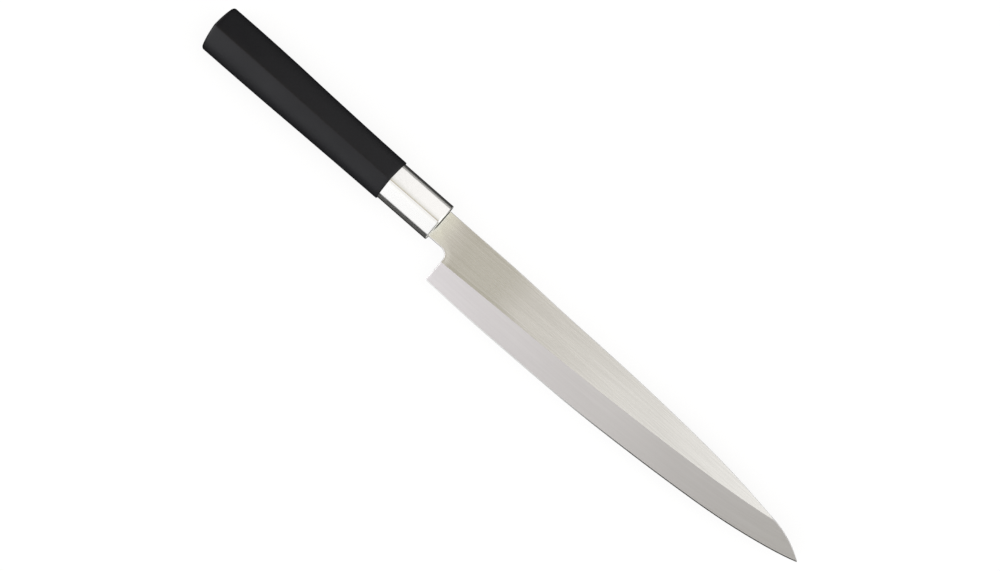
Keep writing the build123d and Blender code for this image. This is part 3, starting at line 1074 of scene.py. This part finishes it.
stem_run = calc("SUBTRACT", given["Collar Length"], given["Collar Front Wall"])
from_front = calc("MULTIPLY_ADD", factor["stem"], stem_run, given["Collar Front Wall"])
from_front = calc("ADD", from_front, along_grip)
butt_reach = calc("MULTIPLY", calc("SINE", butt_turn), given["Butt Round"])
reach_back = node(grip_tree, "ShaderNodeCombineXYZ", {"X": calc("MULTIPLY", butt_reach, -1.0)}).outputs[0]
turn_inputs = {"Vector": vector_calc("ADD", shape, reach_back)}
turn_inputs["Angle"] = calc("MULTIPLY", growth, given["Butt Slant"])
shape = node(grip_tree, "ShaderNodeVectorRotate", turn_inputs, rotation_type="Z_AXIS").outputs[0]
place_inputs = {"X": calc("MULTIPLY", from_front, -1.0)}
place_inputs["Y"] = calc("MULTIPLY", growth, given["Butt Rise"])
place = vector_calc("ADD", node(grip_tree, "ShaderNodeCombineXYZ", place_inputs).outputs[0], shape)

rings = node(grip_tree, "GeometryNodeSetPosition", {"Geometry": grid, "Position": place}).outputs[0]
joined = node(grip_tree, "GeometryNodeJoinGeometry", {"Geometry": rings})
grip_tree.links.new(given["Socket Walls"], joined.inputs["Geometry"])
merge_inputs = {"Geometry": joined.outputs[0], "Distance": given["Merge Distance"]}
merged = node(grip_tree, "GeometryNodeMergeByDistance", merge_inputs).outputs[0]
real = node(grip_tree, "GeometryNodeRealizeInstances", {"Geometry": merged}).outputs[0]
finish_inputs = {"Geometry": real, "Material": given["Finish"]}
finished = node(grip_tree, "GeometryNodeSetMaterial", finish_inputs).outputs[0]
node(grip_tree, "NodeGroupOutput", {"Grip": finished})
print("rings:", ring_count, " nodes:", len(grip_tree.nodes))

# %% [markdown]
# ## The socket in the stem
# The stem is hollow for the tang and its resin. Its walls are plain flat faces, so they are made here as a
# small open mesh, and the tree joins the rings to it. The modifier's inputs are set by their identifiers
# before the object is first evaluated, and the result is taken as a plain mesh.

# %% Make the handle
socket_clearance = 0.9 * MM
socket_bottom_gap = 2.5 * MM
socket_reach = steel_top + socket_clearance
socket_plan = tang_outline(socket_clearance, socket_bottom_gap)
socket_half = tang_root_half + socket_clearance

bm = bmesh.new()
above = [bm.verts.new((x, y, socket_reach)) for x, y in socket_plan]
below = [bm.verts.new((x, y, -socket_reach)) for x, y in socket_plan]
bm.faces.new(above)
bm.faces.new(below)
join_lines(bm, above, below)
mouth = [(socket_half, socket_reach), (-socket_half, socket_reach), (-socket_half, -socket_reach)]
mouth = [(-ferrule_front_wall, y, z) for y, z in [*mouth, (socket_half, -socket_reach)]]
fill_between(bm, ferrule_ring(-ferrule_front_wall, tenon_inset), mouth)
walls_mesh = bpy.data.meshes.new("socket walls")
bm.to_mesh(walls_mesh)
bm.free()

grip_maker = link_object("grip maker", walls_mesh)
black_grip, _ = new_material("black grip")
modifier = grip_maker.modifiers.new("rings", "NODES")
modifier.node_group = grip_tree
values = {**sections, **grip_sizes, "Finish": black_grip}
for item in grip_tree.interface.items_tree:
    if item.in_out == "INPUT" and item.name in values:
        modifier[item.identifier] = values[item.name]
evaluated = grip_maker.evaluated_get(bpy.context.evaluated_depsgraph_get())
grip_mesh = bpy.data.meshes.new_from_object(evaluated)
bm = bmesh.new()
bm.from_mesh(grip_mesh)
for used in [grip_maker, *sections.values()]:
    bpy.data.objects.remove(used)
handle = finish_piece(bm, "black_handle", [black_grip])
print("handle box in mm:", in_mm(handle.bound_box[0], 3), in_mm(handle.bound_box[6], 3))
print("CAD handle in mm:", in_mm(handle_low, 3), in_mm(handle_high, 3))

# %% [markdown]
# ## Ground steel
# Ground steel is metal with fine scratches that all run one way. The scratches are noise drawn out along the
# blade: long soft streaks change the tone and the gloss a little, and fine hair lines raise and lower the
# surface by about a micrometre. The gloss is anisotropic too, because light spreads across such scratches
# and hardly along them.


# %% Define the steel
def streaks(tree, where, length, width, detail=3.0, seed=0.0):
    """Noise drawn out along the first coordinate, between 0 and 1."""
    inputs = {"Vector": where, "Location": (seed, seed, seed), "Scale": (1 / length, 1 / width, 1 / width)}
    placed = node(tree, "ShaderNodeMapping", inputs).outputs[0]
    inputs = {"Vector": placed, "Scale": 1.0, "Detail": detail, "Roughness": 0.6}
    return node(tree, "ShaderNodeTexNoise", inputs).outputs[0]


def between(tree, factor, under, over):
    """A colour on the way between two colours. The first can also be another node's output."""
    if not isinstance(under, bpy.types.NodeSocket):
        under = (*under, 1)
    inputs = {"Factor": factor, 6: under, 7: (*over, 1)}
    return node(tree, "ShaderNodeMix", inputs, data_type="RGBA").outputs[2]


def bump(tree, height, distance, **below):
    inputs = {"Height": height, "Strength": 1.0, "Distance": distance, **below}
    return node(tree, "ShaderNodeBump", inputs).outputs[0]


def end_material(tree, colour, roughness, normal, **others):
    """Ends a material in one Principled shader."""
    inputs = {"Base Color": colour, "Roughness": roughness, "Normal": normal, **others}
    shader = node(tree, "ShaderNodeBsdfPrincipled", inputs)
    node(tree, "ShaderNodeOutputMaterial", {"Surface": shader.outputs[0]})


def ground_steel(name, dark, light, roughness, play, anisotropy, hair_height, streak_height=0.0):
    material, tree = new_material(name)
    where = node(tree, "ShaderNodeUVMap", uv_map="grain").outputs[0]
    long_streak = streaks(tree, where, 45 * MM, 0.8 * MM, detail=4.0, seed=3.1)
    hair = streaks(tree, where, 9 * MM, 0.12 * MM, detail=2.0, seed=7.7)
    patchy = streaks(tree, where, 30 * MM, 12 * MM, detail=2.0, seed=1.3)
    tone = math(tree, "ADD", product(tree, long_streak, 0.75), product(tree, patchy, 0.25))
    gloss = math(tree, "ADD", product(tree, hair, 0.6), product(tree, long_streak, 0.4))
    end_material(
        tree,
        between(tree, map_range(tree, tone, 0.3, 0.7), dark, light),
        map_range(tree, gloss, 0.25, 0.75, roughness - play, roughness + play),
        bump(tree, long_streak, streak_height, Normal=bump(tree, hair, hair_height)),
        Metallic=1.0,
        Anisotropic=anisotropy,
        Tangent=node(tree, "ShaderNodeTangent", direction_type="UV_MAP", uv_map="grain").outputs[0],
    )
    return material


steels = (
    # Name, darker and lighter tone, roughness and its play, anisotropy, height of hair lines and of streaks
    ("brushed flat", (0.64, 0.625, 0.60), (0.77, 0.755, 0.73), 0.26, 0.05, 0.5, 0.0012 * MM, 0.003 * MM),
    ("ground bevel", (0.68, 0.665, 0.66), (0.73, 0.715, 0.71), 0.33, 0.04, 0.3, 0.0008 * MM),
    ("sharpened line", (0.68, 0.68, 0.67), (0.74, 0.74, 0.73), 0.16, 0.03, 0.3, 0.0006 * MM),
    ("eased rims", (0.68, 0.67, 0.65), (0.75, 0.74, 0.72), 0.24, 0.05, 0.2, 0.0006 * MM),
    ("hollow back", (0.66, 0.65, 0.63), (0.73, 0.72, 0.70), 0.28, 0.05, 0.5, 0.0010 * MM),
)
for row in steels:
    blade.data.materials.append(ground_steel(*row))
print("finishes of the blade:", [material.name for material in blade.data.materials])

# %% [markdown]
# In the photograph the flat is paler and less regular beside the collar, and here that is painted light, with
# a thin dark line right at the collar that is a painted contact shadow. Ahead of that the neck is darker,
# apart from a pale band round the choil. Near the heel a darker band runs along the ridge, and towards the
# point the bevel and the eased rims are darker. These darker tones are painted shade, standing for darker
# reflections.
# Why is only a guess, so these are plain tints, set by eye against the photograph's tones and laid over each
# steel's own colour. A place on the flat is known from the two UV maps: the distance from the collar, from
# the axis, and from the ridge.

# %% Paint light, shade and a paler choil band on the blade
# Painted light: a paler patch on the flat beside the collar.
painted_light_length, painted_light_most, painted_light_colour = 12 * MM, 0.81, (0.95, 0.955, 0.88)
# Painted shade along the ridge near the heel, standing for a darker reflection.
ridge_shade_width, ridge_shade_start, ridge_shade_later, ridge_shade_colour = 1.1 * MM, 0.30, 0.14, (0.44, 0.43, 0.37)
ridge_shade_weakens, ridge_shade_fades = (47 * MM, 62 * MM), (62 * MM, 100 * MM)
# Painted shade over the flat near the heel and the neck, standing for a darker reflection.
heel_shade_grows, heel_shade_fades = (6 * MM, 19 * MM), (36 * MM, 57 * MM)
heel_shade_most, heel_shade_colour = 0.32, (0.40, 0.39, 0.31)
# A paler band round the choil.
choil_band, choil_most, choil_colour = (0.5 * MM, 1.3 * MM, 1.5 * MM, 3.9 * MM), 0.34, (0.95, 0.955, 0.93)
# Painted contact shadow: a thin dark line on the neck at the collar's front.
collar_shadow_fades, collar_shadow_grows = (0.30 * MM, 0.55 * MM), (-5.5 * MM, -1.5 * MM)
collar_shadow_most, collar_shadow_colour = 0.92, (0.03, 0.03, 0.028)
# Painted shade towards the point, on the eased rims and on the bevel, standing for darker reflections.
rim_shade_grows, rim_shade_most, rim_shade_colour = (197 * MM, 202 * MM), 0.60, (0.20, 0.20, 0.22)
bevel_shade_grows, bevel_shade_most, bevel_shade_colour = (108 * MM, 165 * MM), 0.26, (0.50, 0.48, 0.49)


def open_steel(material):
    """What a tint starts from: tree, place in the grain, its two distances and the colour's socket."""
    tree = material.node_tree
    shader = next(n for n in tree.nodes if n.type == "BSDF_PRINCIPLED")
    where = node(tree, "ShaderNodeUVMap", uv_map="grain").outputs[0]
    along, across, _ = node(tree, "ShaderNodeSeparateXYZ", {0: where}).outputs
    return tree, where, along, across, shader.inputs["Base Color"]


flat_steel, bevel_steel, _, rim_steel, _ = blade.data.materials
tree, where, along, across_blade, base_colour = open_steel(flat_steel)
where_from_ridge = node(tree, "ShaderNodeUVMap", uv_map="from the ridge").outputs[0]
from_the_ridge = node(tree, "ShaderNodeSeparateXYZ", {0: where_from_ridge}).outputs["Y"]

# Painted light beside the collar, made uneven by noise.
fan_noise = streaks(tree, where, 6 * MM, 2.2 * MM, detail=0.0, seed=8.8)
painted_light = map_range(tree, along, 0, painted_light_length, painted_light_most, 0, "SMOOTHERSTEP")
painted_light = product(tree, painted_light, map_range(tree, fan_noise, 0.25, 0.75, 0.75, 1.15))
# Painted shade along the ridge near the heel.
ridge_shade = product(
    tree,
    fade(tree, from_the_ridge, ridge_shade_width, 1.5 * ridge_shade_width, 1, 0),
    fade(tree, along, heel_x - MM, heel_x + MM),
    fade(tree, along, *ridge_shade_weakens, ridge_shade_start, ridge_shade_later),
    fade(tree, along, *ridge_shade_fades, 1, 0),
)
# Painted shade over the flat near the heel.
heel_shade = product(tree, fade(tree, along, *heel_shade_grows, 0, heel_shade_most), fade(tree, along, *heel_shade_fades, 1, 0))
# A paler band round the choil.
choil_centre = {0: where, 1: (choil_x, choil_y, 0)}
from_choil = node(tree, "ShaderNodeVectorMath", choil_centre, operation="DISTANCE").outputs["Value"]
from_choil = math(tree, "SUBTRACT", from_choil, choil_radius)
choil_pale_band = product(tree, soft_band(tree, from_choil, choil_band), choil_most)
# Painted contact shadow at the collar's front.
line = fade(tree, across_blade, *collar_shadow_grows, 0, collar_shadow_most)
line = product(tree, fade(tree, along, *collar_shadow_fades, 1, 0), line)
# Lays the painted light, the painted shades, the paler choil band and the painted contact shadow over the
# steel's colour.
colour = base_colour.links[0].from_socket
for share, over in (
    (painted_light, painted_light_colour),
    (ridge_shade, ridge_shade_colour),
    (heel_shade, heel_shade_colour),
    (choil_pale_band, choil_colour),
    (line, collar_shadow_colour),
):
    colour = between(tree, share, colour, over)
tree.links.new(colour, base_colour)

# Painted shade towards the point on the eased rims and on the bevel.
for material, stretch, most, over in (
    (rim_steel, rim_shade_grows, rim_shade_most, rim_shade_colour),
    (bevel_steel, bevel_shade_grows, bevel_shade_most, bevel_shade_colour),
):
    tree, _, along, _, base_colour = open_steel(material)
    darker = fade(tree, along, *stretch, 0, most)
    tree.links.new(between(tree, darker, base_colour.links[0].from_socket, over), base_colour)
# Prints the length of the painted light beside the collar.
print("the neck is buffed over", painted_light_length / MM, "mm")

# %% [markdown]
# ## Polished steel
# The collar is buffed to a mirror. A perfect mirror looks like a computer's, so the surface keeps what
# buffing leaves: a very shallow waviness, and hair scratches in no order, which dull the mirror a little.
# Along the ridge between the facets the photograph shows a soft greyer line, more of it towards the grip. It
# is painted shade, a tint that stands for a darker reflection along the ridge.

# %% Polish the collar
# Painted shade along the collar's ridge, standing for a darker reflection.
collar_shade_reach, collar_shade_most, collar_shade_colour = 2.8 * MM, 0.37, (0.62, 0.62, 0.58)
collar_shade_at_grip, collar_shade_at_front = 1.6, 0.75
ridge_line_offset = 0.15 * MM

polished_steel, tree = new_material("polished steel")
where = node(tree, "ShaderNodeTexCoord").outputs["Object"]
wave = streaks(tree, where, 14 * MM, 5 * MM, detail=1.0, seed=0.4)
haze = streaks(tree, where, 1.6 * MM, 1.2 * MM, detail=4.0, seed=5.0)
scratch = streaks(tree, where, 6 * MM, 0.1 * MM, detail=2.0, seed=9.0)
relief = math(tree, "MULTIPLY_ADD", scratch, 0.02, wave)
along_collar, across_collar, _ = node(tree, "ShaderNodeSeparateXYZ", {0: where}).outputs
from_ridge_line = math(tree, "ABSOLUTE", math(tree, "SUBTRACT", across_collar, axes.y + ridge_line_offset))
# Painted shade along the ridge, stronger towards the grip.
collar_ridge_shade = map_range(tree, from_ridge_line, 0, collar_shade_reach, collar_shade_most, 0, "SMOOTHERSTEP")
rear_share = map_range(tree, along_collar, axes.x - ferrule_length, axes.x, collar_shade_at_grip, collar_shade_at_front)
colour = between(tree, haze, (0.80, 0.795, 0.78), (0.84, 0.835, 0.82))
colour = between(tree, product(tree, collar_ridge_shade, rear_share), colour, collar_shade_colour)
gloss = map_range(tree, haze, 0.3, 0.7, 0.07, 0.13)
end_material(tree, colour, gloss, bump(tree, relief, 0.006 * MM), Metallic=1.0)
ferrule.data.materials.append(polished_steel)
print("polished:", ferrule.name)

# %% [markdown]
# ## The black grip
# The grip is moulded from black plastic with a fine even texture, as the mould was blasted to give it. The
# grain is noise of about a third of a millimetre, in bump and in gloss. A larger, fainter noise keeps the
# gloss from being the same all over, as on any part that was handled.

# %% Mould the grip
tree = black_grip.node_tree
where = node(tree, "ShaderNodeTexCoord").outputs["Object"]
grain_noise = streaks(tree, where, 0.35 * MM, 0.35 * MM, detail=3.0, seed=2.0)
cloud = streaks(tree, where, 18 * MM, 9 * MM, detail=2.0, seed=6.0)
speck = streaks(tree, where, 0.8 * MM, 0.8 * MM, detail=2.0, seed=4.0)
colour = between(tree, speck, (0.0018, 0.0018, 0.0030), (0.0044, 0.0044, 0.0062))
gloss = map_range(tree, cloud, 0.3, 0.7, 0.34, 0.43)
end_material(tree, colour, gloss, bump(tree, grain_noise, 0.02 * MM), **{"Specular IOR Level": 0.33})
print("moulded:", handle.name)

# %% [markdown]
# ## Resin and seal
# The resin round the tang and the bead of sealant in the collar's slot keep their CAD meshes, whose shapes
# are right. They only need finishes: cloudy amber resin, and dark rubber with a fine grain.


# %% Finish the resin and the seal
def small_finish(name, dark, light, roughness, grain_size, height):
    material, tree = new_material(name)
    where = node(tree, "ShaderNodeTexCoord").outputs["Object"]
    grain_noise = streaks(tree, where, grain_size, grain_size, detail=3.0, seed=1.0)
    colour = between(tree, grain_noise, dark, light)
    gloss = map_range(tree, grain_noise, 0.2, 0.8, roughness - 0.08, roughness + 0.08)
    end_material(tree, colour, gloss, bump(tree, grain_noise, height))
    return material


resin = small_finish("cloudy resin", (0.30, 0.17, 0.06), (0.45, 0.28, 0.11), 0.25, 3 * MM, 0.02 * MM)
rubber_tones = (0.010, 0.010, 0.010), (0.022, 0.022, 0.021)
rubber = small_finish("dark sealant", *rubber_tones, 0.55, 0.4 * MM, 0.01 * MM)
for name, material in (("tang_resin", resin), ("slot_seal", rubber)):
    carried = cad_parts[name]
    carried.data.materials.clear()
    carried.data.materials.append(material)
    print(name, "has", material.name)

# %% [markdown]
# ## Bodies and stand-ins
# Nothing on this knife moves, so every piece rides on the one body. The fine meshes stand in for the CAD
# nodes they refine, and those are hidden.

# %% Tie the pieces to the model
for piece, cad_name, slot_name in (
    (blade, "blade", "blade_steel"),
    (ferrule, "ferrule", "ferrule_steel"),
    (handle, "handle", "grip"),
):
    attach(piece, "root")
    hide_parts(cad_name)

low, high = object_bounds()
print("visual box in mm:", in_mm(high - low))
